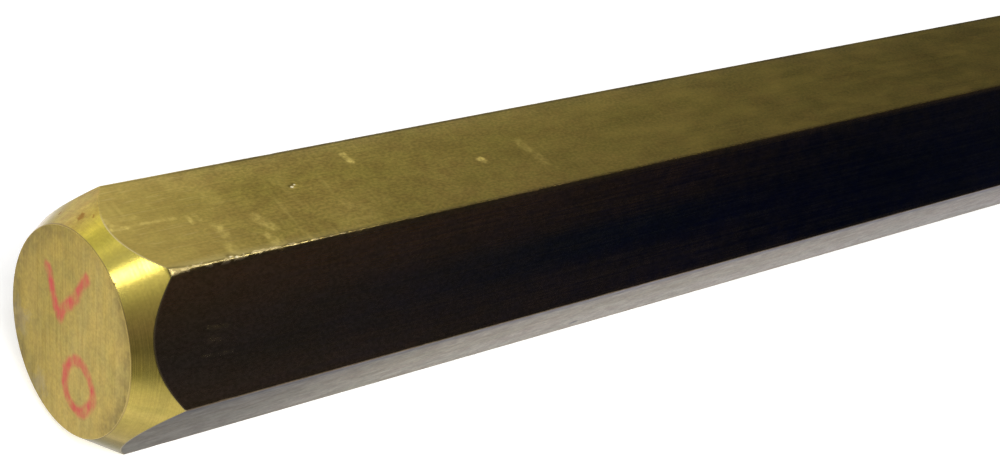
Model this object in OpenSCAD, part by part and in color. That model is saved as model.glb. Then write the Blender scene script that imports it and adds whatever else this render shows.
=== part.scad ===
// Brass hex bar stock: one drawn length of hexagon, lying on a flat.
// The -X end keeps the cone that was turned on it for bar feeding, which
// scallops the six flats. The +X end is the saw cut that parted the length
// off, with its edge broken by a file. The origin is under the middle of the
// bar, on the flat that it lies on.

/* [Hexagon] */
// Width across the flats
across_flats = 30; // [8:0.5:80]
// Length from end to end
bar_length = 300; // [100:1:3000]
// Radius that the drawing die leaves along the six long edges
edge_radius = 0.3; // [0.2:0.1:1.5]

/* [Turned end] */
// How far inside the flats the rim of the round end face lies
face_inset = 1.5; // [0.5:0.1:3]
// Angle between the turned cone and the bar's axis, in degrees
cone_angle = 32; // [20:1:60]

/* [Sawn end] */
// Width of the filed bevel around the saw cut, measured along each flat
file_bevel = 0.6; // [0.2:0.1:2]

/* [Hidden] */

// True arcs everywhere: a count this high is a circle, and not a polygon
$fn = 96;

sides = 6;
side_angle = 360 / sides;
half_width = across_flats / 2;
corner_reach = half_width / cos(side_angle / 2);

// Centre of an edge's rounding, and how far the rounding runs along a flat
round_reach = (half_width - edge_radius) / cos(side_angle / 2);
round_run = edge_radius * tan(side_angle / 2);
half_flat = corner_reach * sin(side_angle / 2) - round_run;

// The flats lie this little below the rounding, so that the two cross cleanly
lap = 0.0002;
flat_reach = half_width - lap;

// Tools run this far past the bar, so that no two faces lie in one plane
overrun = 1;
clear_radius = corner_reach + overrun;

// Turned end: radius of its round face, and the length of the cone's tool path
face_radius = half_width - face_inset;
cone_length = (clear_radius - face_radius) / tan(cone_angle);

// The two ends of each flat, between one edge's rounding and the next
function flat_ends(k) = [
    for (s = [-1, 1])
        let (a = k * side_angle)
            [flat_reach * cos(a) - s * half_flat * sin(a),
             flat_reach * sin(a) + s * half_flat * cos(a)]
];

// Section of the bar: the six flats joined by the edges' rounding
module hexagon_section() {
    polygon([for (k = [0:sides - 1]) each flat_ends(k)]);
    for (k = [0:sides - 1])
        rotate((k + 0.5) * side_angle)
            translate([round_reach, 0])
                circle(r = edge_radius);
}

// The length of hexagon as drawn and sawn, with stock left on to be faced off
module drawn_length() {
    translate([0, 0, -overrun])
        linear_extrude(height = bar_length + overrun)
            hexagon_section();
}

// What the lathe leaves: the round face, the cone, then clear of the corners
module turned_envelope() {
    rotate_extrude()
        polygon([
            [0, 0],
            [face_radius, 0],
            [clear_radius, cone_length],
            [clear_radius, bar_length + overrun],
            [0, bar_length + overrun],
        ]);
}

// What the file leaves of one pair of flats: a roof of 45 degrees at the saw cut
module filed_pair() {
    eaves = half_width + overrun;
    eaves_height = bar_length - file_bevel - overrun;
    ridge = half_width - file_bevel - overrun;
    ridge_height = bar_length + overrun;
    rotate([90, 0, 0])
        linear_extrude(height = 2 * clear_radius, center = true)
            polygon([
                [-eaves, -overrun],
                [eaves, -overrun],
                [eaves, eaves_height],
                [ridge, ridge_height],
                [-ridge, ridge_height],
                [-eaves, eaves_height],
            ]);
}

// The bar standing on its turned end
module finished_length() {
    intersection() {
        drawn_length();
        turned_envelope();
        intersection_for(k = [0:sides / 2 - 1])
            rotate(k * side_angle)
                filed_pair();
    }
}

// Laid down on a flat, with the turned end towards -X
module hex_bar() {
    color("goldenrod")
        translate([-bar_length / 2, 0, half_width])
            rotate([0, 90, 0])
                finished_length();
}

hex_bar();
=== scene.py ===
# %% [markdown]
# # A length of brass hexagon
#
# Bar stock is the raw material that nuts, fittings and spacers are turned from.
# A die draws the brass into a hexagon, so its six flats carry fine lines along
# the bar. One end here was turned to a cone, so that it feeds into a lathe's
# collet, and the cone cuts each flat off in a curve called a scallop. The other
# end is a plain saw cut.
#
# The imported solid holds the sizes. This lesson builds one closed surface of the
# same shape, adds the damage that a bar picks up in a rack, and gives each
# stretch the finish of the tool that made it.

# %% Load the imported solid
import math
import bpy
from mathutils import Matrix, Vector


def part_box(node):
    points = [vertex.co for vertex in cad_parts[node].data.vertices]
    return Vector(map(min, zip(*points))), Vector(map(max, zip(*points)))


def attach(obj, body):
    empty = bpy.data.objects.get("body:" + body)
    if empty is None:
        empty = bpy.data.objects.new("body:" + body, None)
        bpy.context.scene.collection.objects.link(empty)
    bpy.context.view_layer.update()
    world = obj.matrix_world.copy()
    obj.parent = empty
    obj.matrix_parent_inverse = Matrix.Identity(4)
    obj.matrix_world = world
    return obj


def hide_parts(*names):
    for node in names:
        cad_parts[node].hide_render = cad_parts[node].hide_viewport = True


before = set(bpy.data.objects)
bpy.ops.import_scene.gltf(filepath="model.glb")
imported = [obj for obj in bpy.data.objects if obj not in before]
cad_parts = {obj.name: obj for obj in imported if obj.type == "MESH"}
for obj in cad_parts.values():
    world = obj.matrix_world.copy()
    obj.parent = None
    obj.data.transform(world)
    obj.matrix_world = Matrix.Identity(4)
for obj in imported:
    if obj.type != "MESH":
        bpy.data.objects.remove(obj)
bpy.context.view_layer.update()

from types import SimpleNamespace

import bpy
import numpy as np
from mathutils import Quaternion, Vector

bar_low, bar_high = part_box("hex_bar")
print("packed solid, mm:", [round(1000 * size, 2) for size in bar_high - bar_low])

# %% [markdown]
# ## The section
#
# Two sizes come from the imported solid, its length and its width across flats.
# The rest are the turner's and the draw bench's own sizes. A hexagon could be
# made by bevelling a six-sided cylinder, but then the columns of vertices fall
# where the bevel puts them. Here the outline is worked out flat by flat and
# edge by edge, so that columns crowd together at the edges, where the damage is.

# %% Sizes of the bar
MM = 0.001
SIDES = 6
SIDE_TURN = math.tau / SIDES
BAR_LENGTH = bar_high.x - bar_low.x
HALF_WIDTH = (bar_high.z - bar_low.z) / 2
EDGE_RADIUS = 0.3 * MM
FACE_RADIUS = HALF_WIDTH - 1.5 * MM
CONE_ANGLE = math.radians(32)
FILE_BEVEL = 0.6 * MM
HALF_FLAT = (HALF_WIDTH - EDGE_RADIUS) * math.tan(SIDE_TURN / 2)
print("half of one flat, mm:", round(HALF_FLAT / MM, 3))

# %% Outline of the hexagon
# Flats are counted from the top one, towards the near side (-Y) and round.
# Edge k lies between flat k and flat k + 1, so the beaten edge is edge 0.
FLAT_COLUMNS = (32, 22, 22, 12, 12, 12)
ROUND_COLUMNS = 5
HOLDING = np.array([0.0, 0.06, 0.2, 0.5]) * MM
BEATEN_HOLDING = np.array([0.0, 0.06, 0.14, 0.25, 0.4, 0.6, 0.85, 1.15, 1.5]) * MM
HOLDING_GAP = 0.4 * MM
DENTED = np.linspace(-2.45, -0.85, 16) * MM


def flat_stops(flat):
    """Places along one flat, from edge to edge: even steps, with holding columns near both ends.

    On the top flat, columns also crowd together where a pair of small dents lies.
    """
    start = BEATEN_HOLDING if flat == 1 else HOLDING
    end = BEATEN_HOLDING if flat == 0 else HOLDING
    low = -HALF_FLAT + start[-1] + HOLDING_GAP
    high = HALF_FLAT - end[-1] - HOLDING_GAP
    inner = np.linspace(low, high, FLAT_COLUMNS[flat])
    if flat == 0:
        clear = (inner < DENTED[0]) | (inner > DENTED[-1])
        inner = np.sort(np.concatenate([inner[clear], DENTED]))
    return np.concatenate([start - HALF_FLAT, inner, HALF_FLAT - end[::-1]])


def outline():
    """The section's points in order round the bar, as a dict of arrays.

    On flat k the point is normal * half width + tangent * stop. On an edge it is
    the rounding's centre + edge radius * direction, for directions that turn by
    a sixth of a circle.
    """
    points, normals, gaps = [], [], []
    round_reach = (HALF_WIDTH - EDGE_RADIUS) / math.cos(SIDE_TURN / 2)
    for flat in range(SIDES):
        angle = math.pi / 2 + flat * SIDE_TURN
        normal = np.array([math.cos(angle), math.sin(angle)])
        tangent = np.array([-normal[1], normal[0]])
        stops = flat_stops(flat)
        points.append(normal * HALF_WIDTH + tangent * stops[:, None])
        normals.append(np.tile(normal, (len(stops), 1)))
        gaps.append(HALF_FLAT - np.abs(stops) + EDGE_RADIUS * SIDE_TURN / 2)
        corner = angle + SIDE_TURN / 2
        turns = np.linspace(-SIDE_TURN / 2, SIDE_TURN / 2, ROUND_COLUMNS + 2)[1:-1]
        around = np.stack([np.cos(corner + turns), np.sin(corner + turns)], axis=1)
        centre = round_reach * np.array([math.cos(corner), math.sin(corner)])
        points.append(centre + EDGE_RADIUS * around)
        normals.append(around)
        gaps.append(EDGE_RADIUS * np.abs(turns))
    points = np.concatenate(points)
    steps = np.linalg.norm(np.roll(points, -1, axis=0) - points, axis=1)
    return {
        "points": points,
        "normals": np.concatenate(normals),
        "gap": np.concatenate(gaps),
        "run": np.cumsum(steps) - steps,
        "girth": steps.sum(),
        "reach": np.linalg.norm(points, axis=1),
    }


section = outline()
EDGE_RUN = section["girth"] / SIDES
print("columns round the bar:", len(section["reach"]), "girth, mm:", round(section["girth"] / MM, 2))

# %% [markdown]
# ## The surface from end to end
#
# Every point of the bar is a point of the outline, shrunk towards the axis by
# some share and moved along the bar. On the end face and the cone, the share is
# the lathe's radius over the outline's own reach, which is what makes the
# scallops: the cone meets the middle of a flat sooner than it meets an edge.
# A Boolean modifier could cut the cone too, but it leaves long thin faces. Here
# the bar is one grid, and the tiny radii at rim and scallops are rows of it.

# %% Rows along the flats
# Even rows up to two places, in mm from the scallop, then a number of ever longer ones
FINE_END, FINE_STEP = 30, 0.2
MIDDLE_END, MIDDLE_STEP = 70, 0.5
REST_ROWS = 80
LAST_SHARES = (0.9995, 1.0)


def along_flat():
    """Shares of a flat's length: even steps twice, then places that grow as the square of their count."""
    fine = np.arange(0, FINE_END, FINE_STEP)
    middle = np.arange(FINE_END, MIDDLE_END, MIDDLE_STEP)
    count = np.arange(REST_ROWS)
    rest = MIDDLE_END + MIDDLE_STEP * count
    rest = rest + (BAR_LENGTH / MM - rest[-1]) * (count / count[-1]) ** 2
    stops = np.concatenate([fine, middle, rest]) * MM / BAR_LENGTH
    return np.concatenate([stops[:-1], LAST_SHARES])


print("rows along a flat:", len(along_flat()))

# %% Rows of the whole grid
RIM_RADIUS = 0.12 * MM
SCALLOP_RADIUS = 0.25 * MM
FACE_ROWS, ARC_ROWS, CONE_ROWS, BEVEL_ROWS, SAWN_ROWS = 12, 5, 32, 4, 10
HOLDING_SHARE = 0.005
FACED, TURNED, DRAWN, SAWN = range(4)


def blocks():
    """The grid's rows as (finish, lip, share, place) blocks, from the turned end to the sawn end.

    Turned rows: share = radius / reach. The rim's arc and the scallop's arc have
    radius and place on a circle that touches the surfaces on both sides. The lip
    is 1 on the scallop's arc, where a thin bright edge is painted on as a
    highlight, and -1 on the rim's arc, where grime stays.
    """
    reach = section["reach"]
    wide = np.ones_like(reach)
    rim_turn = math.pi / 2 - CONE_ANGLE
    rim_start = FACE_RADIUS - RIM_RADIUS * math.tan(rim_turn / 2)
    radius = np.linspace(0, rim_start, FACE_ROWS + 1)[1:, None]
    yield FACED, 0, radius / reach, 0 * radius * wide

    turn = np.linspace(0, rim_turn, ARC_ROWS)[1:, None]
    radius = rim_start + RIM_RADIUS * np.sin(turn)
    place = RIM_RADIUS * (1 - np.cos(turn))
    yield TURNED, -1, radius / reach, place * wide
    rim_radius, rim_place = radius[-1], place[-1]

    meeting = (reach - FACE_RADIUS) / math.tan(CONE_ANGLE)
    flat_start = meeting + SCALLOP_RADIUS * math.tan(CONE_ANGLE / 2)
    lean = np.linspace(CONE_ANGLE, 0, ARC_ROWS)[:, None]
    arc_radius = reach - SCALLOP_RADIUS * (1 - np.cos(lean))
    arc_place = flat_start - SCALLOP_RADIUS * np.sin(lean)
    share = np.linspace(0, 1, CONE_ROWS)[1:, None]
    radius = rim_radius + (arc_radius[0] - rim_radius) * share
    yield TURNED, 0, radius / reach, rim_place + (arc_place[0] - rim_place) * share
    yield TURNED, 1, arc_radius[1:] / reach, arc_place[1:]

    flat_end = BAR_LENGTH - FILE_BEVEL
    share = along_flat()[1:, None]
    yield DRAWN, 0, share * 0 + wide, flat_start + (flat_end - flat_start) * share

    bevel = np.linspace(0, FILE_BEVEL, BEVEL_ROWS)[1:, None]
    yield SAWN, 0, (1 - bevel / HALF_WIDTH) * wide, (flat_end + bevel) * wide
    cut_rim = 1 - FILE_BEVEL / HALF_WIDTH
    share = np.linspace(cut_rim, 0, SAWN_ROWS)[1:-1]
    share = np.concatenate([[cut_rim - HOLDING_SHARE], share])[:, None]
    yield SAWN, 0, share * wide, BAR_LENGTH * np.ones_like(share) * wide


kinds, lips, shares, places = zip(*blocks())
counts = [len(share) for share in shares]
finish = np.repeat(kinds, counts)
lip = np.repeat(lips, counts)
shares = np.concatenate(shares)
places = np.concatenate(places)
print("rows along the bar:", len(shares), "points:", shares.size)

# %% [markdown]
# ## Knocks
#
# Bars slide over each other in the rack, and their edges take the knocks. The
# upper near edge is ragged behind the turned end, thickly for 24 mm and thinly
# for 45 mm, with one bright nick in it. The flats and the other edges have a few
# shallow dents. They could be sculpted, but not the same way twice. Here each
# knock is a smooth hollow, a bell curve along the bar and round it, and where
# knocks overlap the deepest one counts. A seeded generator places most of them.

# %% Where the knocks are
rng = np.random.default_rng(30)


def edge_run(edge):
    """How far round the outline the middle of an edge lies, in mm, counted as section['run'] is."""
    return (edge * EDGE_RUN + 2 * HALF_FLAT + EDGE_RADIUS * SIDE_TURN / 2) / MM


def flat_run(flat, stop):
    """The same for a place on a flat, the stop being counted in mm from the flat's middle."""
    return (flat * EDGE_RUN + HALF_FLAT) / MM + stop


def scatter(count, place, run, length, width, depth):
    """Random knocks, one row each: place, run round the bar, length, width and depth, in mm."""
    ranges = (place, run, length, width, depth)
    return np.stack([rng.uniform(low, high, count) for low, high in ranges], axis=1)


def beside(edge, reach):
    """A range of runs to both sides of an edge."""
    return edge_run(edge) - reach, edge_run(edge) + reach


# In rows as those of scatter: a bright nick in two parts on the beaten edge, then dents on the top flat
knocks = [[
    [14.5, edge_run(0) - 0.35, 0.35, 0.25, 0.11],
    [15.25, edge_run(0) - 0.08, 0.35, 0.25, 0.14],
    [30.65, flat_run(0, -1.62), 0.34, 0.26, 0.08],
    [31.25, flat_run(0, -1.95), 0.26, 0.22, 0.07],
    [41.9, flat_run(0, -4.7), 0.5, 0.8, 0.03],
    [61.6, flat_run(0, 0.6), 0.5, 0.5, 0.04],
]]
END_CLEAR = BAR_LENGTH / MM - 1
FLAT_REACH = 0.9 * HALF_FLAT / MM
knocks.append(scatter(90, (6, 24), beside(0, 0.08), (0.12, 0.5), (0.1, 0.24), (0.01, 0.06)))
knocks.append(scatter(30, (20, 45), beside(0, 0.08), (0.12, 0.5), (0.08, 0.16), (0.01, 0.05)))
for side in range(SIDES):
    knocks.append(scatter(14, (8, END_CLEAR), beside(side, 0.1), (0.3, 1.2), (0.1, 0.25), (0.01, 0.04)))
    across = (flat_run(side, -FLAT_REACH), flat_run(side, FLAT_REACH))
    knocks.append(scatter(7, (70, END_CLEAR), across, (0.5, 1.2), (0.4, 0.8), (0.006, 0.014)))
knocks = np.concatenate(knocks) * MM
print("knocks:", len(knocks))

# %% Depth of the knocks
def knock_depth(place, run):
    """Depth of the deepest knock at each point: depth * exp(-(dx / length)^2 - (ds / width)^2)."""
    deepest = np.zeros_like(place)
    girth = section["girth"]
    for at, around, length, width, depth in knocks:
        off = (run - around + girth / 2) % girth - girth / 2
        bell = np.exp(-((place - at) / length) ** 2 - (off / width) ** 2)
        deepest = np.maximum(deepest, depth * bell)
    return deepest


depth = knock_depth(places, section["run"][None, :]) * (finish != FACED)[:, None]
print("deepest, mm:", round(depth.max() / MM, 3))

# %% [markdown]
# ## The beaten corner
#
# Where the ragged edge runs out on the cone, its corner is beaten flat. A hollow
# would look like a thumb print there. Instead every point beyond a slanting plane
# is pushed back to it. The push sets in over a few hundredths of a millimetre, so
# the new flat has a soft border.

# %% Push the corner back
BEATEN_DEPTH = 0.27 * MM
BEATEN_LEAN = math.radians(4)
BEATEN_SOFTNESS = 0.06 * MM
BEATEN_FADE = 2.2 * MM
edge_way = math.pi / 2 + SIDE_TURN / 2
edge_reach = section["reach"].max()
EDGE_OUT = np.array([0, math.cos(edge_way), math.sin(edge_way)])
BEATEN_NORMAL = EDGE_OUT * math.cos(BEATEN_LEAN) - np.array([math.sin(BEATEN_LEAN), 0, 0])
BEATEN_CORNER = EDGE_OUT * edge_reach
BEATEN_CORNER[0] = bar_low.x + (edge_reach - FACE_RADIUS) / math.tan(CONE_ANGLE)


def bar_points():
    """Every point, from the axis: share * outline point - knock depth * normal, then the push.

    The push is softness * log(1 + exp(height / softness)), height being counted
    from the slanting plane: nothing well below it, the whole height above it. It
    fades out along the cone by a smooth step, 3 t^2 - 2 t^3.
    """
    across = shares[..., None] * section["points"] - depth[..., None] * section["normals"]
    points = np.concatenate([(bar_low.x + places)[..., None], across], axis=-1)
    height = (points - BEATEN_CORNER) @ BEATEN_NORMAL + BEATEN_DEPTH
    push = BEATEN_SOFTNESS * np.logaddexp(0, height / BEATEN_SOFTNESS)
    fade = np.clip((points[..., 0] - BEATEN_CORNER[0]) / BEATEN_FADE + 1, 0, 1)
    push = push * fade ** 2 * (3 - 2 * fade)
    return points - push[..., None] * BEATEN_NORMAL, push


points, push = bar_points()
print("corner pushed back by up to, mm:", round(push.max() / MM, 3))

# %% [markdown]
# ## One closed mesh
#
# The grid closes round the bar on itself, and a single vertex closes it at the
# middle of each end face. All its faces turn the same way, outwards. Five
# numbers go along with every vertex for the materials to read: how far the
# nearest long edge is, how deep it was struck, how far it was pushed back, how
# many flats round the bar it lies, and whether it is on a scallop's lip or the rim.

# %% Build the bar's mesh
AXIS_HEIGHT = bar_low.z + HALF_WIDTH


def grid_faces(rows, columns):
    """Corners of every face between rows, round and round: (i, j), (i, j+1), (i+1, j+1), (i+1, j)."""
    corner = np.arange(rows * columns).reshape(rows, columns)
    right = np.roll(corner, -1, axis=1)
    quads = np.stack([corner[:-1], right[:-1], right[1:], corner[1:]], axis=-1)
    return quads.reshape(-1, 4)


def pole_fans(rows, columns):
    """Triangles that close the first and the last row, each to a vertex that follows the grid's own."""
    ring = np.arange(columns)
    after = np.roll(ring, -1)
    last_row = (rows - 1) * columns
    first_pole = np.full(columns, rows * columns)
    return np.concatenate([
        np.stack([first_pole, after, ring], axis=-1),
        np.stack([first_pole + 1, last_row + ring, last_row + after], axis=-1),
    ])


def bar_mesh(name):
    """Mesh of the bar: the grid of points laid on the floor, closed at both poles, with its numbers."""
    rows, columns = shares.shape
    poles = np.array([[bar_low.x, 0, 0], [bar_high.x, 0, 0]])
    vertices = np.concatenate([points.reshape(-1, 3), poles]) + [0, 0, AXIS_HEIGHT]
    faces = grid_faces(rows, columns).tolist() + pole_fans(rows, columns).tolist()
    mesh = bpy.data.meshes.new(name)
    mesh.from_pydata(vertices.tolist(), [], faces)
    ends = np.repeat([FACED, SAWN], columns)
    slots = np.concatenate([np.repeat(finish[1:], columns), ends])
    mesh.polygons.foreach_set("material_index", slots.astype(np.int32))
    mesh.polygons.foreach_set("use_smooth", np.ones(len(slots), bool))
    numbers = {
        "gap": section["gap"] / MM,
        "struck": depth / MM,
        "pushed": push / MM,
        "round": section["run"] / EDGE_RUN,
        "lip": lip[:, None],
    }
    for number, values in numbers.items():
        layer = mesh.attributes.new(number, "FLOAT", "POINT")
        values = np.broadcast_to(values, shares.shape).ravel()
        layer.data.foreach_set("value", np.append(values, [0, 0]).astype(np.float32))
    mesh.update()
    return mesh


def put(name, data):
    """A new object in the scene."""
    thing = bpy.data.objects.new(name, data)
    bpy.context.scene.collection.objects.link(thing)
    return thing


bar = put("brass_bar", bar_mesh("brass_bar"))
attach(bar, "root")
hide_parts("hex_bar")
print("faces of the bar:", len(bar.data.polygons))

# %% [markdown]
# ## Camera
#
# The photograph looks down on the turned end from the near side, and the camera
# was tilted, so the bar runs uphill. A camera could be moved by eye until it
# fits. Here its place, angles and lens come from fitting the bar's outline to
# the picture.

# %% Camera
CAMERA_PLACE = Vector((-0.28078, -0.16352, 0.18467))
CAMERA_AZIMUTH = math.radians(-51.14)
CAMERA_ELEVATION = math.radians(33.31)
CAMERA_ROLL = math.radians(20.69)
PICTURE_WIDTH = 1000
FOCAL_PIXELS = 2152.8

optics = bpy.data.cameras.new("camera")
optics.sensor_width = 36
optics.lens = FOCAL_PIXELS * optics.sensor_width / PICTURE_WIDTH
optics.clip_start = 0.01
camera = put("camera", optics)
looking = Vector((
    -math.sin(CAMERA_AZIMUTH) * math.cos(CAMERA_ELEVATION),
    math.cos(CAMERA_AZIMUTH) * math.cos(CAMERA_ELEVATION),
    -math.sin(CAMERA_ELEVATION),
))
roll = Quaternion((0, 0, 1), CAMERA_ROLL)
camera.rotation_mode = "QUATERNION"
camera.rotation_quaternion = looking.to_track_quat("-Z", "Y") @ roll
camera.location = CAMERA_PLACE
bpy.context.scene.camera = camera
print("lens, mm:", round(optics.lens, 1))

# %% [markdown]
# ## Helpers for materials
#
# A material is a graph of nodes. It could be wired by hand in the shader editor,
# but the helpers below add one node each and link or set its inputs, so that a
# finish reads from top to bottom like a recipe. A socket knows its graph, so most
# helpers take the graph from there. A mask is a number from 0 to 1.

# %% Helpers for numbers
NUMBER_RESULTS = ("DISTANCE", "DOT_PRODUCT")


def add(tree, kind, inputs=None, **properties):
    """Adds a shader node, sets its properties, and links or sets each input that is given."""
    node = tree.nodes.new("ShaderNode" + kind)
    for name, value in properties.items():
        setattr(node, name, value)
    for key, value in (inputs or {}).items():
        if isinstance(value, bpy.types.NodeSocket):
            tree.links.new(value, node.inputs[key])
        else:
            node.inputs[key].default_value = value
    return node


def calc(operation, a, b=0.0, c=0.0):
    """One sum on numbers."""
    return add(a.id_data, "Math", {0: a, 1: b, 2: c}, operation=operation).outputs[0]


def times(mask, *others):
    """Numbers multiplied: of masks, what lies in all of them."""
    for other in others:
        mask = calc("MULTIPLY", mask, other)
    return mask


def most(mask, *others):
    """The largest of some numbers: of masks, what lies in any of them."""
    for other in others:
        mask = calc("MAXIMUM", mask, other)
    return mask


def scaled(value, gain, base):
    """value * gain + base."""
    return calc("MULTIPLY_ADD", value, gain, base)


def sum_of(base, *parts):
    """base + mask * gain, for each (mask, gain)."""
    for mask, gain in parts:
        base = scaled(mask, gain, base)
    return base


def away_from(value, middle):
    """How far a number is from a middle, to either side."""
    return calc("ABSOLUTE", calc("SUBTRACT", value, middle))


def step(value, low, high, to_low=0.0, to_high=1.0):
    """A smooth step from to_low to to_high, as value goes from low to high."""
    inputs = {"Value": value, "From Min": low, "From Max": high, "To Min": to_low, "To Max": to_high}
    node = add(value.id_data, "MapRange", inputs, interpolation_type="SMOOTHSTEP")
    return node.outputs["Result"]


def on_vectors(operation, *vectors):
    """One sum on vectors, which gives a vector, or a number for a distance or a dot product."""
    inputs = dict(enumerate(vectors))
    node = add(vectors[0].id_data, "VectorMath", inputs, operation=operation)
    return node.outputs["Value" if operation in NUMBER_RESULTS else "Vector"]


def noise(vector, scale, detail):
    """Blender's noise: its first output is a number about 0.5, and its second one a colour."""
    inputs = {"Vector": vector, "Scale": scale, "Detail": detail}
    return add(vector.id_data, "TexNoise", inputs).outputs


print("helpers for numbers are ready")

# %% Helpers for colours
def tint(share, first, second, blend="MIX"):
    """The first colour mixed with, multiplied by or added to the second one, as the share goes to 1."""
    first, second = (c if isinstance(c, bpy.types.NodeSocket) else (*c, 1) for c in (first, second))
    inputs = {0: share, 6: first, 7: second}
    return add(share.id_data, "Mix", inputs, data_type="RGBA", blend_type=blend).outputs[2]


def glaze(base, colour, mask, strength=1.0):
    """A clear coat: where the mask is, the base is multiplied by the colour."""
    return tint(times(mask, strength), base, colour, "MULTIPLY")


def paint(base, colour, mask, strength=1.0):
    """A solid coat: where the mask is, the base gives way to the colour."""
    return tint(times(mask, strength), base, colour)


def ramp(value, stops):
    """Colours read off by a value from 0 to 1, between stops of a place and a colour."""
    node = add(value.id_data, "ValToRGB", {0: value})
    elements = node.color_ramp.elements
    elements.remove(elements[1])
    for k, (at, colour) in enumerate(stops):
        element = elements.new(at) if k else elements[0]
        element.position = at
        element.color = (*colour, 1)
    return node.outputs["Color"]


def ramp_round(turn, colours):
    """Colours read off by how many flats round the bar a point lies."""
    return ramp(calc("DIVIDE", turn, float(SIDES)), [(at / SIDES, colour) for at, colour in colours])


print("helpers for colours are ready")

# %% [markdown]
# ## Shared effects
#
# **Patches** are the cloudy differences in tarnish, and drawn out long they are
# tool lines. **Edge wear** is bright metal where the skin is rubbed off an edge
# in a ragged line. **Spots** are stains with a ragged rim, and **strokes** are
# scratches or crayon lines. Each could be wired anew in every finish, but as node
# groups they are made once. All of them give a mask.

# %% Shared node groups
def new_group(name, vectors, numbers, mask):
    """An empty node group with named inputs and one mask: (tree, what comes in, where the mask goes)."""
    tree = bpy.data.node_groups.new(name, "ShaderNodeTree")
    for kind, sockets in (("NodeSocketVector", vectors), ("NodeSocketFloat", numbers)):
        for socket in sockets:
            tree.interface.new_socket(name=socket, in_out="INPUT", socket_type=kind)
    tree.interface.new_socket(name=mask, in_out="OUTPUT", socket_type="NodeSocketFloat")
    given = tree.nodes.new("NodeGroupInput").outputs
    return tree, given, tree.nodes.new("NodeGroupOutput").inputs[mask]


def make_patches():
    """Noise between two levels: 0 below Low, 1 above High, smooth between."""
    tree, given, mask = new_group("patches", ["Vector"], ["Low", "High"], "Patches")
    cloud = noise(given["Vector"], 1.0, 4.0)[0]
    tree.links.new(step(cloud, given["Low"], given["High"]), mask)
    return tree


def make_edge_wear():
    """Worn where noise * Width is more than the gap to the edge."""
    tree, given, mask = new_group("edge wear", ["Vector"], ["Gap", "Width"], "Worn")
    cloud = noise(given["Vector"], 1.0, 5.0)[0]
    reach = times(step(cloud, 0.42, 0.66), given["Width"])
    tree.links.new(step(calc("SUBTRACT", reach, given["Gap"]), 0.0, 0.1), mask)
    return tree


def make_spot():
    """Distance from Centre / Radius + noise, stepped: 1 inside and 0 outside a ragged rim."""
    tree, given, mask = new_group("spot", ["Vector", "Centre"], ["Radius"], "Spot")
    away = on_vectors("DISTANCE", given["Vector"], given["Centre"])
    cloud = noise(given["Vector"], 2500.0, 3.0)[0]
    ragged = calc("ADD", calc("DIVIDE", away, given["Radius"]), cloud)
    tree.links.new(step(ragged, 1.6, 0.9), mask)
    return tree


def make_stroke():
    """Distance to the line from Start to End / Width, stepped: 1 on the line, half at half the Width."""
    tree, given, mask = new_group("stroke", ["Vector", "Start", "End"], ["Width"], "Stroke")
    way = on_vectors("SUBTRACT", given["End"], given["Start"])
    here = on_vectors("SUBTRACT", given["Vector"], given["Start"])
    share = calc("DIVIDE", on_vectors("DOT_PRODUCT", here, way), on_vectors("DOT_PRODUCT", way, way))
    share = add(tree, "Clamp", {"Value": share}).outputs[0]
    away = on_vectors("DISTANCE", here, on_vectors("MULTIPLY", way, share))
    tree.links.new(step(calc("DIVIDE", away, given["Width"]), 0.8, 0.2), mask)
    return tree


patches = make_patches()
edge_wear = make_edge_wear()
spot = make_spot()
stroke = make_stroke()
print("shared effects:", [g.name for g in bpy.data.node_groups])

# %% Patterns and marks
def in_metres(sizes):
    """A few sizes in mm as metres."""
    return tuple(size * MM for size in sizes)


def use(group, **inputs):
    """A node group put to use with its own values: its mask."""
    named = {name.capitalize(): value for name, value in inputs.items()}
    return add(inputs["vector"].id_data, "Group", named, node_tree=group).outputs[0]


def stretch(vector, scale, turn=(0.0, 0.0, 0.0)):
    """Coordinates turned, then multiplied: a large number packs a pattern close along that axis."""
    tree = vector.id_data
    turned = add(tree, "Mapping", {"Vector": vector, "Rotation": turn}).outputs[0]
    return add(tree, "Mapping", {"Vector": turned, "Scale": scale}).outputs[0]


def cloudy(place, scale, low=0.3, high=0.7, turn=(0.0, 0.0, 0.0)):
    """Patches on turned and stretched coordinates."""
    return use(patches, vector=stretch(place, scale, turn), low=low, high=high)


def shaky(place, scale, sway):
    """Coordinates that noise pushes about by up to half the sway, in mm for each axis."""
    push = on_vectors("SUBTRACT", noise(place, scale, 3.0)["Color"], (0.5, 0.5, 0.5))
    return on_vectors("MULTIPLY_ADD", push, in_metres(sway), place)


def strokes(place, marks):
    """The strongest of some strokes at each point: start, end and width in mm, then strength."""
    strongest = 0.0
    for start, end, width, strength in marks:
        mark = use(stroke, vector=place, start=in_metres(start), end=in_metres(end), width=width * MM)
        strongest = most(times(mark, strength), strongest)
    return strongest


def spots(place, marks):
    """The strongest of some spots at each point: along, across, up and radius, in mm."""
    strongest = 0.0
    for *centre, radius in marks:
        mark = use(spot, vector=place, centre=in_metres(centre), radius=radius * MM)
        strongest = most(mark, strongest)
    return strongest


print("patterns and marks are ready")

# %% Start and end of a finish
def new_finish(name, **constants):
    """A material with one metal shader: (material, shader, object coordinates)."""
    material = bpy.data.materials.new(name)
    material.use_nodes = True
    tree = material.node_tree
    shader = tree.nodes["Principled BSDF"]
    for socket, value in {"Metallic": 1.0, **constants}.items():
        shader.inputs[socket.replace("_", " ")].default_value = value
    return material, shader, add(tree, "TexCoord").outputs["Object"]


def field(place, name):
    """A number that the mesh carries at its vertices, for the graph that the place is in."""
    return add(place.id_data, "Attribute", attribute_name=name).outputs["Fac"]


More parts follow.
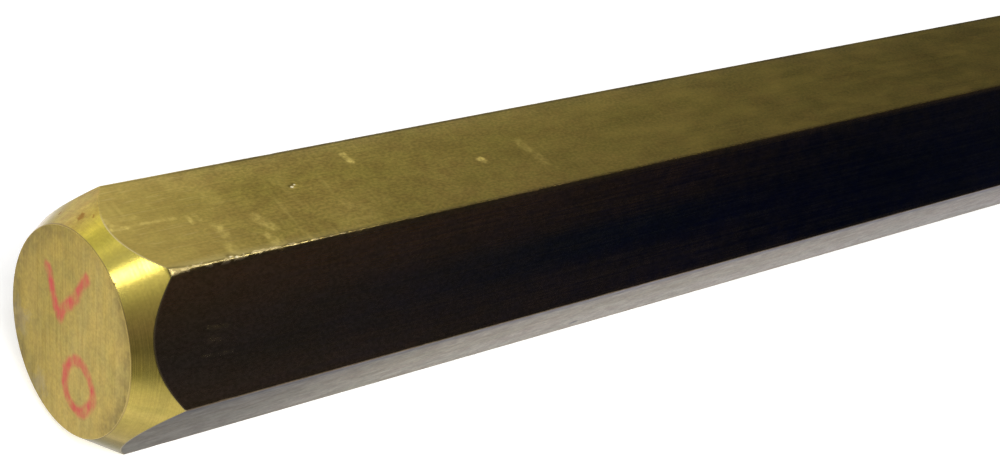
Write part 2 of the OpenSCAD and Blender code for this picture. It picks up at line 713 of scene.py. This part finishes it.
def whereabouts(place):
    """Where a point is, in mm: how far behind the turned end, across the bar, and up from the floor."""
    along, across, up = add(place.id_data, "SeparateXYZ", {0: place}).outputs
    return scaled(along, 1 / MM, -bar_low.x / MM), times(across, 1 / MM), times(up, 1 / MM)


def feed(shader, height, distance, **results):
    """Links a finish to its shader, with the height as bump of the given depth, and prints its size."""
    tree = shader.id_data
    bump = add(tree, "Bump", {"Height": height, "Distance": distance, "Strength": 1.0})
    for name, value in {**results, "Normal": bump.outputs[0]}.items():
        tree.links.new(value, shader.inputs[name.replace("_", " ")])
    print("nodes of this finish:", len(tree.nodes))


print("start and end of a finish are ready")

# %% [markdown]
# ## Drawn flats: the skin and its painted shade
#
# The die leaves lines along the bar, thin and long. They are noise whose
# coordinates are packed close across the bar and stretched along it. Over them
# lies a thin skin of tarnish, which is different on each flat. It could be
# painted, but a ramp that runs round the bar gives the colours of all six flats,
# and three sizes of cloudy noise break them up. The ramp also holds painted
# shade and light: the near upper flat is painted darker, the flat below it paler
# and greyer towards its lower edge, and thin dark lines of painted shade run
# along three edges.

# %% Skin and painted shade of the flats
# Colours round the bar: flat k runs from k to k + 1, so its middle is k + 0.5.
# Besides tarnish they hold painted shade and light: dark lines at the edges
# (0, 1.00, 2.03 and 5.985), a darker near upper flat (1 to 2), and a paler,
# greyer lower part of the flat below it (2.4 to 2.85).
SKIN_AND_PAINTED_SHADE = (
    (0.00, (0.20, 0.15, 0.05)), (0.015, (0.78, 0.59, 0.16)), (0.12, (0.74, 0.55, 0.125)),
    (0.35, (0.70, 0.52, 0.105)), (0.97, (0.72, 0.53, 0.12)), (1.00, (0.54, 0.40, 0.16)),
    (1.06, (0.88, 0.54, 0.21)), (1.45, (0.56, 0.42, 0.21)), (1.65, (0.49, 0.39, 0.22)),
    (1.95, (0.68, 0.49, 0.24)), (2.03, (0.22, 0.17, 0.09)), (2.14, (0.64, 0.52, 0.26)),
    (2.40, (0.76, 0.62, 0.31)), (2.85, (0.90, 0.78, 0.48)), (3.10, (0.70, 0.53, 0.16)),
    (4.00, (0.68, 0.51, 0.14)), (5.00, (0.72, 0.54, 0.125)), (5.97, (0.72, 0.54, 0.12)),
    (5.985, (0.20, 0.15, 0.05)),
)
TOP_HEIGHT = bar_high.z / MM
TOP_FADE = 0.3


def flat_masks(place):
    """The mesh's numbers, places in mm, and patterns that several steps of this finish read, by name."""
    on = SimpleNamespace()
    for name in ("round", "gap", "struck", "pushed", "lip"):
        setattr(on, name, field(place, name))
    on.behind, on.across, up = whereabouts(place)
    on.top = step(up, TOP_HEIGHT - TOP_FADE, TOP_HEIGHT)
    on.side = step(away_from(on.round, 1.5), 0.5, 0.44)
    # Painted shade: where the near upper flat is made cooler and darker further along
    on.cool = times(on.side, step(on.behind, 40, 150, 0.0, 0.4))
    on.lines = cloudy(place, (35, 4200, 4200))
    on.grain = cloudy(place, (1800, 2800, 2800))
    on.mottle = cloudy(place, (420, 650, 650))
    on.broken = cloudy(place, (1100, 1100, 1100), 0.4, 0.65)
    return on


def skin(place, on):
    """The colour of each flat, with its painted shade and light, under clouds, mottling, grain and the
    die's lines.
    """
    brass = ramp_round(on.round, SKIN_AND_PAINTED_SHADE)
    brass = glaze(brass, (0.80, 0.86, 0.70), cloudy(place, (90, 200, 200)), 0.6)
    brass = glaze(brass, (0.78, 0.70, 0.74), on.mottle, 0.7)
    brass = glaze(brass, (0.66, 0.68, 0.62), on.grain, 0.9)
    return glaze(brass, (0.70, 0.70, 0.66), on.lines, 0.35)


print("colours round the bar:", len(SKIN_AND_PAINTED_SHADE))

# %% [markdown]
# ## Drawn flats: away from the turned end
#
# Further along the bar the top flat has yellow blotches, where the skin is thin.
# The flat below it is painted cooler and darker further along, as painted shade,
# with a long film of oil on its middle, and low on the third flat there is one
# dark speck. Such things could be drawn in a picture for each flat. As masks they
# need no picture.

# %% Blotches, painted shade, film and speck
# The film of oil, in mm: start, end, width; then strength
FILM = ((-130, -13.1, 22.3), (15, -13.3, 22.0), 5.0, 1.0)
# The speck, in mm: along, across, up from the floor, radius
SPECK = (-67.4, -10.3, 2.9, 0.9)


def far_part(place, on, brass):
    """Blotches on the top flat, painted shade that makes the flat below it cooler and darker, its film in
    streaks, and the speck.
    """
    far = times(on.top, step(on.behind, 45, 105, 0.0, 0.4))
    blotches = cloudy(place, (110, 300, 300), 0.3, 0.75)
    brass = paint(brass, (0.98, 0.74, 0.15), times(far, blotches))
    # Painted shade: the near upper flat cooler and darker further along the bar
    brass = glaze(brass, (0.62, 0.80, 1.0), on.cool)
    streaks = scaled(cloudy(place, (10, 900, 900), 0.3, 0.6), 0.5, 0.5)
    film = times(strokes(place, [FILM]), streaks, step(on.behind, 20, 80), step(on.behind, 135, 90))
    brass = glaze(brass, (0.52, 0.74, 1.10), film)
    # Painted shade: darker and bluer still at the far end of the near upper flat
    brass = glaze(brass, (0.62, 0.78, 0.90), times(on.side, step(on.behind, 90, 140)))
    return glaze(brass, (0.30, 0.31, 0.28), spots(place, [SPECK]), 0.8)


print("film of oil, mm long:", FILM[1][0] - FILM[0][0])

# %% [markdown]
# ## Drawn flats: handling
#
# Hands and other bars have rubbed the top flat bright near the turned end, in
# streaks along the bar and in short scuffs across it. The flat below has a few
# faint scratches, and painted shade darkens the third flat behind the turned end
# and again far along it. A painted highlight lies on the top flat beside the
# beaten edge, and another on the scallops' lip. Noise alone would spread the
# marks evenly, but the larger ones lie in groups, so they are strokes in places
# of their own.

# %% Scuffs and scratches
# Scuffs on the top flat, in mm: start along and across, end along and across, width; then strength
SCUFFS = (
    (-147.4, 3.2, -146.6, 0.5, 1.5, 0.7), (-147.2, 0.4, -145.2, 0.4, 0.7, 1.3),
    (-145.2, 0.4, -138.3, 0.3, 0.6, 0.55), (-147.0, 1.9, -143.0, 1.8, 0.8, 0.4),
    (-136.6, 0.1, -136.5, -1.2, 0.7, 0.75), (-135.5, 0.2, -135.3, -1.0, 0.6, 0.4),
    (-133.9, -2.8, -133.8, -4.6, 1.3, 0.7), (-134.5, -6.4, -134.3, -7.4, 1.3, 0.6),
    (-127.9, -2.6, -126.9, -4.9, 1.6, 0.6), (-128.4, -6.2, -128.1, -8.0, 1.4, 0.6),
    (-131.6, 6.5, -131.4, 2.0, 2.5, 0.2), (-134.5, 5.8, -133.5, 5.2, 2.5, 0.25),
    (-114.2, -3.2, -114.0, -4.2, 1.2, 0.5), (-116.0, -6.3, -113.0, -6.0, 4.0, 0.25),
    (-108.1, 5.7, -107.9, 4.2, 1.0, 1.0), (-88.6, -0.4, -88.3, -0.8, 1.1, 1.0),
    (-79.8, 1.5, -79.0, -3.6, 1.4, 0.35),
)
# Scratches on the flat below the top one, in mm: start, end, width; then strength
SCRATCHES = (
    ((-139.8, -12.58, 23.2), (-137.0, -12.69, 23.0), 0.5, 0.07),
    ((-139.65, -13.32, 21.9), (-138.4, -13.4, 21.7), 0.9, 0.04),
    ((-141.0, -14.26, 20.3), (-136.5, -14.39, 20.1), 0.4, 0.05),
)


def rub_masks(place, on):
    """Adds two masks: scuffs and scratches, and all that is rubbed, with random rubs across the bar."""
    scuffs = [((x, y, TOP_HEIGHT), (end_x, end_y, TOP_HEIGHT), width, strength)
              for x, y, end_x, end_y, width, strength in SCUFFS]
    marks = strokes(shaky(place, 900.0, (0.9, 0.9, 0)), (*scuffs, *SCRATCHES))
    on.scuffs = times(marks, scaled(on.broken, 0.6, 0.25))
    rubs = cloudy(place, (800, 130, 130), 0.5, 0.75)
    where = cloudy(place, (70, 110, 110), 0.45, 0.68)
    near = times(on.top, step(on.behind, 70, 20, 0.2, 1.0))
    on.rubbed = most(times(rubs, where, near, 0.45), on.scuffs)


print("scuffs:", len(SCUFFS), "scratches:", len(SCRATCHES))

# %% Handled end of the flats, with painted shade and highlights
# Colour of the painted highlight on the scallops' lip
LIP_HIGHLIGHT_BRASS = (0.94, 0.76, 0.34)
# Where handling sets in and where it is strongest, in mm behind the turned end
HANDLED = (28, 3)


def lip_highlight(lip, across, pattern):
    """Where the scallops' lip gets its painted highlight, broken up by a pattern and fainter on the far
    side.
    """
    return times(lip, pattern, step(across, 4.5, 1.0, 0.1, 1.0))


def handled_part(place, on, brass):
    """Bright streaks and rubs on the top flat, painted shade on the third one, and painted highlights at
    edge and lip.
    """
    handled = times(on.top, step(on.behind, *HANDLED, 0.0, 0.5))
    streaks = cloudy(place, (220, 2600, 2600), 0.55, 0.75)
    brass = paint(brass, (0.90, 0.67, 0.17), handled)
    brass = paint(brass, (1.0, 0.80, 0.30), times(handled, streaks))
    brass = paint(brass, (0.98, 0.77, 0.20), on.rubbed)
    # Painted shade: the third flat darker behind the turned end and again far along it
    dirt_and_shade = calc("ADD", step(on.behind, 50, 12, 0.0, 0.62), step(on.behind, 110, 185, 0.0, 0.25))
    brass = glaze(brass, (0.30, 0.28, 0.26), times(step(away_from(on.round, 2.5), 0.5, 0.45), dirt_and_shade))
    # Painted highlight: a pale band on the top flat beside the beaten edge, fading out by 40 mm behind
    # the turned end
    edge_highlight = times(on.top, step(on.round, 0.90, 0.985), step(on.behind, 40, 8, 0.0, 0.6))
    brass = paint(brass, (0.98, 0.80, 0.30), edge_highlight)
    # Painted highlight on the scallops' lip
    return paint(brass, LIP_HIGHLIGHT_BRASS, lip_highlight(on.lip, on.across, scaled(on.mottle, 0.5, 0.5)))


print("handling, mm behind the turned end:", HANDLED)

# %% [markdown]
# ## Drawn flats: wear
#
# A knock breaks the skin and shows bright metal, and the beaten corner is bare
# as well. Deep knocks get matt pale flecks, a painted highlight that stands in
# for the glints in their hollows. A wear mask could be made from the angle between
# faces, which Blender calls pointiness. Here the mesh already knows how far the
# edge is and how deep each point was struck, so the wear lies exactly where the
# damage is.

# %% Worn edges and painted glints
WORN_BRASS = (0.96, 0.77, 0.34)
# Colour of the painted glints in deep knocks
GLINT_BRASS = (0.92, 0.84, 0.58)


def wear_masks(place, on):
    """Adds four masks: the ragged stretch of edge, the beaten corner, what is worn and where glints are
    painted.
    """
    on.ragged = times(step(away_from(on.round, 1.0), 0.08, 0.05), step(on.behind, 38, 13))
    on.beaten = step(on.pushed, 0.03, 0.1)
    rubbed_off = use(edge_wear, vector=stretch(place, (900, 1500, 1500)),
                     gap=on.gap, width=scaled(on.ragged, 0.55, 0.03))
    dents = times(step(on.struck, 0.02, 0.07), scaled(on.grain, 0.5, 0.4))
    on.worn = most(rubbed_off, dents, times(on.beaten, scaled(on.broken, 0.5, 0.4)))
    # Painted highlight: matt pale flecks in struck places away from the edges, and in the deepest knocks
    flecks = times(step(on.gap, 0.5, 1.2), step(on.struck, 0.03, 0.065, 0.0, 0.8))
    gouges = times(step(on.struck, 0.065, 0.10), scaled(on.broken, 0.4, 0.6), 0.8)
    on.torn = most(flecks, gouges)


def drawn_flats():
    """The six flats and their edges."""
    material, shader, place = new_finish("drawn flats")
    on = flat_masks(place)
    rub_masks(place, on)
    wear_masks(place, on)
    brass = skin(place, on)
    brass = far_part(place, on, brass)
    brass = handled_part(place, on, brass)
    brass = paint(brass, WORN_BRASS, on.worn)
    # Painted highlight: pale flecks where the knocks are deep
    brass = paint(brass, GLINT_BRASS, on.torn)
    chafed = times(on.worn, on.ragged, on.top)
    metal = sum_of(1.0, (on.torn, -0.8), (on.scuffs, -0.26), (chafed, -0.25))
    rough = sum_of(0.27, (on.lines, 0.07), (on.mottle, 0.06), (on.rubbed, 0.10),
                   (on.beaten, 0.10), (on.side, -0.08), (on.cool, -0.12))
    height = sum_of(on.lines, (on.mottle, 2.0), (times(on.beaten, on.broken), 15.0))
    feed(shader, height, 0.0015 * MM, Base_Color=brass, Metallic=metal, Roughness=rough)
    return material


drawn = drawn_flats()

# %% [markdown]
# ## Turned cone
#
# A lathe tool cuts grooves that run round the bar, finer than a hair. They could
# be modelled, but the same noise gives them when it is packed close along the bar
# and stretched round it. Faint dark streaks of painted reflection run from rim to
# scallop, so a second noise is read by direction from the axis. Cut metal is
# bright, but its colour differs round the cone, so it has a ramp of its own, and
# the ramp also holds painted light and shade: darker stripes and a brighter strip
# low down. The far side is darkened with painted shade, grime sits on the rim,
# the scallops' lip has a painted highlight, and there are a few brown stains.

# %% Turned cone
# Colours round the cone, counted as those of the flats, with painted light and
# shade: darker stripes near 0.48, 0.70, 1.35 and 5.72, and a brighter strip low
# down, from 2.6 to 2.75.
CUT_AND_PAINTED_LIGHT = (
    (0.00, (0.88, 0.64, 0.17)), (0.22, (0.80, 0.60, 0.12)), (0.36, (0.82, 0.65, 0.09)),
    (0.48, (0.68, 0.555, 0.085)), (0.60, (0.80, 0.65, 0.11)), (0.70, (0.66, 0.54, 0.11)),
    (0.82, (0.80, 0.65, 0.13)), (1.10, (0.80, 0.63, 0.13)), (1.35, (0.70, 0.48, 0.12)),
    (1.55, (0.80, 0.60, 0.13)), (1.70, (0.74, 0.58, 0.11)), (1.95, (0.70, 0.53, 0.11)),
    (2.25, (0.74, 0.56, 0.135)), (2.45, (0.65, 0.49, 0.12)), (2.60, (0.92, 0.68, 0.21)),
    (2.75, (1.00, 0.82, 0.30)), (3.20, (0.76, 0.58, 0.13)), (5.55, (0.72, 0.53, 0.13)),
    (5.72, (0.60, 0.44, 0.05)), (5.88, (0.72, 0.53, 0.09)), (5.99, (0.88, 0.64, 0.17)),
)
# Stains, in mm: along, across, up from the floor, radius
STAINS = (
    (-148.25, 5.3, 28.55, 0.6), (-147.9, 5.55, 28.75, 0.45), (-148.3, 9.4, 26.1, 0.3),
    (-147.4, 4.05, 29.5, 0.3), (-149.8, -5.8, 27.2, 0.25),
)


def turned_cone():
    """The cone and the tiny radii beside it."""
    material, shader, place = new_finish("turned cone")
    across = whereabouts(place)[1]
    lip = field(place, "lip")
    pushed = field(place, "pushed")
    grooves = cloudy(place, (5200, 60, 60))
    clouds = cloudy(place, (420, 260, 260), 0.42, 0.7)
    from_axis = on_vectors("MULTIPLY_ADD", place, (0, 1, 1), (0, 0, -AXIS_HEIGHT))
    # Painted reflection: faint dark streaks from rim to scallop
    reflection_streaks = cloudy(on_vectors("NORMALIZE", from_axis), (1, 6, 6), 0.45, 0.7)
    mottle = cloudy(place, (900, 900, 900), 0.35, 0.65)
    # Painted shade: patchy darkening on the cone's far side
    far_side_shade = times(mottle, step(across, 1.5, 5.0, 0.1, 0.6))
    stains = spots(shaky(place, 1300.0, (0.9, 0.9, 0.9)), STAINS)
    # Cut brass, with painted light and shade round the cone
    brass = ramp_round(field(place, "round"), CUT_AND_PAINTED_LIGHT)
    brass = glaze(brass, (0.70, 0.74, 0.85), clouds, 0.4)
    brass = glaze(brass, (0.50, 0.60, 0.45), reflection_streaks, 0.35)
    brass = paint(brass, (0.45, 0.36, 0.10), grooves, 0.15)
    brass = glaze(brass, (0.75, 0.75, 0.70), cloudy(place, (2600, 2600, 2600)), 0.4)
    brass = glaze(brass, (0.78, 0.68, 0.72), far_side_shade)
    brass = paint(brass, (0.40, 0.15, 0.02), stains, 0.6)
    brass = paint(brass, WORN_BRASS, step(pushed, 0.03, 0.1), 0.7)
    # Painted highlight on the scallops' lip
    brass = paint(brass, LIP_HIGHLIGHT_BRASS, lip_highlight(lip, across, scaled(clouds, -0.4, 0.9)))
    brass = paint(brass, (0.36, 0.26, 0.10), step(lip, -0.1, -0.7, 0.0, 0.7))
    rough = sum_of(0.16, (grooves, 0.05), (clouds, 0.06), (step(pushed, 0.02, 0.2), 0.12), (stains, 0.3))
    feed(shader, grooves, 0.002 * MM, Base_Color=brass, Roughness=rough)
    return material


turned = turned_cone()

# %% [markdown]
# ## Crayon marks
#
# A red wax crayon has marked the turned end's face with a tick and a ring. Such
# marks could be thin pieces of their own, but wax has hardly any thickness, so
# they are part of the face's finish. Wax sits on the high places only, so the
# strokes are broken up by the saw lines, and a shaky hand makes them uneven.

# %% Crayon marks
SAW_TILT = (math.radians(20), 0, 0)
TICK_WIDTH, RING_WIDTH, RING_RADIUS = 1.5, 1.4, 3.2


def make_ring():
    """Distance to a circle about Centre / Width, stepped: 1 on the circle, half at half the Width."""
    tree, given, mask = new_group("crayon ring", ["Vector", "Centre"], ["Radius", "Width"], "Ring")
    off = away_from(on_vectors("DISTANCE", given["Vector"], given["Centre"]), given["Radius"])
    tree.links.new(step(calc("DIVIDE", off, given["Width"]), 0.8, 0.2), mask)
    return tree


def on_face(across, up):
    """A place on the turned end's face, in mm, counted across and up from the bar's axis."""
    return (bar_low.x / MM, across, AXIS_HEIGHT / MM + up)


crayon_ring = make_ring()
TICK = (on_face(7.0, 4.6), on_face(2.6, 0.4), on_face(-0.6, 8.6))
RING_CENTRE = on_face(-4.2, -5.4)


def crayon(place):
    """Where the wax is: a tick and a ring, thinned by the saw lines and by cloudy noise."""
    hand = shaky(place, 260.0, (0, 1.8, 1.8))
    tick = strokes(hand, [(start, end, TICK_WIDTH, 1.0) for start, end in zip(TICK, TICK[1:])])
    ring = use(crayon_ring, vector=hand, centre=in_metres(RING_CENTRE),
               radius=RING_RADIUS * MM, width=RING_WIDTH * MM)
    lines = cloudy(place, (1, 2600, 500), turn=SAW_TILT)
    thick = cloudy(place, (1, 600, 600))
    return times(most(tick, ring), sum_of(0.32, (thick, 0.5), (lines, 0.25)))


print("crayon: a tick of", len(TICK) - 1, "strokes and a ring, mm across:", 2 * RING_RADIUS)

# %% [markdown]
# ## End faces
#
# The turned end's face was sawn before the cone was cut, so it has straight,
# fine saw lines, and it is paler and duller than the cone. Painted shade darkens
# it towards the far side, and it has two smudges and a dirty rim. The other end
# is a coarser saw cut. Both could share one finish, but their lines differ in
# direction and depth.

# %% Faced end
# Smudges, in mm: a place on the face, then the radius
SMUDGES = ((*on_face(3.6, -11.2), 2.2), (*on_face(10.0, -5.4), 2.4))


def rim_dirt(place, across, up):
    """Dirt near the rim, most at both sides, but none low on the near side."""
    out = times(on_vectors("DISTANCE", place, in_metres(on_face(0, 0))), 1 / MM)
    sides = step(calc("ABSOLUTE", across), 3, 9, 0.1, 0.7)
    axis = AXIS_HEIGHT / MM
    clean = times(step(across, -2, -5), step(up, axis - 6, axis - 9))
    return times(step(out, 10.5, 13.3), sides, scaled(clean, -1.0, 1.0))


def faced_end():
    """The round face of the turned end."""
    material, shader, place = new_finish("faced end")
    across, up = whereabouts(place)[1:]
    lines = cloudy(place, (1, 3200, 120), turn=SAW_TILT)
    bands = cloudy(place, (1, 420, 40), turn=SAW_TILT)
    clouds = cloudy(place, (1, 260, 260), 0.35, 0.7)
    mottle = cloudy(place, (1, 800, 800), 0.35, 0.65)
    smudges = spots(shaky(place, 350.0, (0, 5, 5)), SMUDGES)
    dirt_and_shade = times(rim_dirt(place, across, up), scaled(mottle, 0.5, 0.6))
    wax = crayon(place)
    brass = paint((0.60, 0.43, 0.09), (0.44, 0.36, 0.09), clouds, 0.5)
    brass = paint(brass, (0.44, 0.33, 0.10), bands, 0.25)
    brass = glaze(brass, (0.80, 0.76, 0.80), mottle, 0.5)
    brass = glaze(brass, (0.70, 0.72, 0.70), cloudy(place, (1, 2600, 2600)), 0.5)
    brass = glaze(brass, (0.75, 0.75, 0.75), lines, 0.18)
    # Painted shade: the face darker towards the far side
    brass = glaze(brass, (0.84, 0.83, 0.66), step(across, -4, 5))
    brass = paint(brass, (0.30, 0.26, 0.17), smudges, 0.35)
    brass = glaze(brass, (0.55, 0.55, 0.62), dirt_and_shade)
    brass = paint(brass, (0.48, 0.045, 0.035), wax)
    rough = sum_of(0.42, (lines, 0.1), (wax, 0.2))
    height = scaled(bands, 2.0, lines)
    feed(shader, height, 0.002 * MM, Base_Color=brass, Metallic=scaled(wax, -0.9, 1.0), Roughness=rough)
    return material


faced = faced_end()

# %% Sawn end
CUT_TILT = (0.35, 0, 0)


def sawn_end():
    """The saw cut at the other end, with its filed bevel."""
    material, shader, place = new_finish("sawn end")
    lines = cloudy(place, (1, 60, 1500), turn=CUT_TILT)
    fine = cloudy(place, (1, 90, 5000), turn=CUT_TILT)
    brass = paint((0.74, 0.58, 0.17), (0.46, 0.36, 0.12), lines, 0.5)
    rough = scaled(fine, 0.15, 0.28)
    feed(shader, scaled(lines, 3.0, fine), 0.006 * MM, Base_Color=brass, Roughness=rough)
    return material


# The mesh counts its finishes in this order: FACED, TURNED, DRAWN, SAWN
for material in (faced, turned, drawn, sawn_end()):
    bar.data.materials.append(material)
print("finishes:", [m.name for m in bar.data.materials])

# %% [markdown]
# ## Floor
#
# The bar lies on a plain white floor. A glossy metal would mirror the floor, its
# shadow and its edge, so the floor is kept out of the reflections, and the lower
# half of the surroundings below stands for it there.

# %% Floor
FLOOR_SIZE = 6.0
FLOOR_GLOW = 0.4


def pale_floor():
    """A plain square at the level of the bar's lowest flat."""
    half = FLOOR_SIZE / 2
    ways = ((-1, -1), (1, -1), (1, 1), (-1, 1))
    mesh = bpy.data.meshes.new("floor")
    mesh.from_pydata([(x * half, y * half, bar_low.z) for x, y in ways], [], [(0, 1, 2, 3)])
    floor = put("floor", mesh)
    mesh.materials.append(new_finish(
        "pale floor", Metallic=0.0, Roughness=0.9, Base_Color=(0.9, 0.9, 0.9, 1),
        Emission_Color=(1, 1, 1, 1), Emission_Strength=FLOOR_GLOW)[0])
    floor.visible_glossy = False
    print("floor, m:", FLOOR_SIZE, "square")


pale_floor()

# %% [markdown]
# ## Lamps
#
# A round soft lamp above the turned end gives the cone its bright band, and one
# above the bar picks out the ragged edge. They could be moved about by eye, but
# metal mirrors them, so their directions were worked out from where the bright
# places are. A wide lamp in front lights the floor, and the metal does not show it.

# %% Lamps
LAMP_DISTANCE = 0.9


def lamp(name, direction, spread, radiance):
    """A round soft lamp seen from the turned end in a direction, so many degrees wide.

    Its power is radiance * pi * its area, so that it looks as bright at any size.
    """
    data = bpy.data.lights.new(name, "AREA")
    data.shape = "DISK"
    data.size = 2 * LAMP_DISTANCE * math.tan(math.radians(spread) / 2)
    data.energy = radiance * math.pi * math.pi * (data.size / 2) ** 2
    light = put(name, data)
    way = Vector(direction).normalized()
    light.location = Vector((bar_low.x, 0, AXIS_HEIGHT)) + way * LAMP_DISTANCE
    light.rotation_mode = "QUATERNION"
    light.rotation_quaternion = (-way).to_track_quat("-Z", "Y")
    light.visible_camera = False
    print(f"{name}: {data.size:.2f} m wide, {data.energy:.1f} W")
    return light


lamp("lamp above the turned end", (-0.49, -0.03, 0.87), 12, 5.2)
lamp("lamp above the bar", (0.45, -0.24, 0.86), 12, 7.0)
floor_lamp = lamp("floor lamp", (-0.2, -0.75, 0.6), 41, 10.0)
floor_lamp.visible_glossy = False

# %% [markdown]
# ## Surroundings
#
# Bare metal has little colour of its own. What it shows is the light around it,
# so the surroundings are a dome with one dark side, which the near upper flat
# mirrors, and which shades off over the top flat. The dome is shaded in front of
# the turned end too, and paler below, with one shaded place. Two pale patches
# give the cone its stripes. A picture of a workshop could light the bar as well,
# but it could not be tuned flat by flat.

# %% Surroundings
DARK_SIDE = (0.75, -0.65, 0.12)
SHADED_SIDE = (-0.55, -0.70, 0.45)
SHADED_FLOOR = (0.30, 0.35, -0.89)
SHADE = 0.52
FLOOR_LIGHT = (1.0, 1.02, 1.28)
BACKDROP = (0.9, 0.9, 0.9)
# Pale patches: direction and brightness
PALE_PATCHES = (((-0.22, 0.80, 0.56), 0.28), ((-0.37, 0.48, 0.79), 0.16))
# Brightness by the cosine of the angle to the dark side
DARKNESS = (
    (-0.50, (0.70, 0.70, 0.70)), (-0.10, (0.64, 0.64, 0.64)), (0.06, (0.62, 0.62, 0.62)),
    (0.16, (0.36, 0.36, 0.36)), (0.26, (0.11, 0.11, 0.11)), (0.40, (0.06, 0.06, 0.06)),
    (0.70, (0.044, 0.043, 0.058)), (0.93, (0.056, 0.050, 0.059)), (0.97, (0.027, 0.027, 0.054)),
    (1.00, (0.000, 0.002, 0.028)),
)


def surroundings():
    """A dome: the ramp by angle to the dark side, more light below, less the shades, plus the patches."""
    world = bpy.data.worlds.new("surroundings")
    world.use_nodes = True
    tree = world.node_tree
    way = add(tree, "TexCoord").outputs["Generated"]

    def towards(direction):
        """Cosine of the angle between where a ray goes and a direction."""
        return on_vectors("DOT_PRODUCT", way, Vector(direction).normalized())

    turn = scaled(towards(DARK_SIDE), 0.5, 0.5)
    light = ramp(turn, [(cosine / 2 + 0.5, colour) for cosine, colour in DARKNESS])
    light = paint(light, (0, 0, 0), step(towards(SHADED_SIDE), 0.82, 0.97), SHADE)
    height = add(tree, "SeparateXYZ", {0: way}).outputs["Z"]
    deep = step(height, -0.75, -0.97, 0.0, -0.45)
    below = calc("ADD", step(height, -0.15, -0.5, 0.0, 0.5), deep)
    light = tint(below, light, FLOOR_LIGHT, "ADD")
    light = paint(light, (0, 0, 0), step(towards(SHADED_FLOOR), 0.90, 0.985), SHADE)
    for direction, brightness in PALE_PATCHES:
        patch = step(towards(direction), 0.985, 0.999, 0.0, brightness)
        light = tint(patch, light, (1, 1, 1), "ADD")
    seen = add(tree, "LightPath").outputs["Is Camera Ray"]
    light = paint(light, BACKDROP, seen)
    tree.links.new(light, tree.nodes["Background"].inputs["Color"])
    bpy.context.scene.world = world
    print("surroundings:", len(tree.nodes), "nodes")


surroundings()
bpy.context.scene.view_settings.view_transform = "Standard"
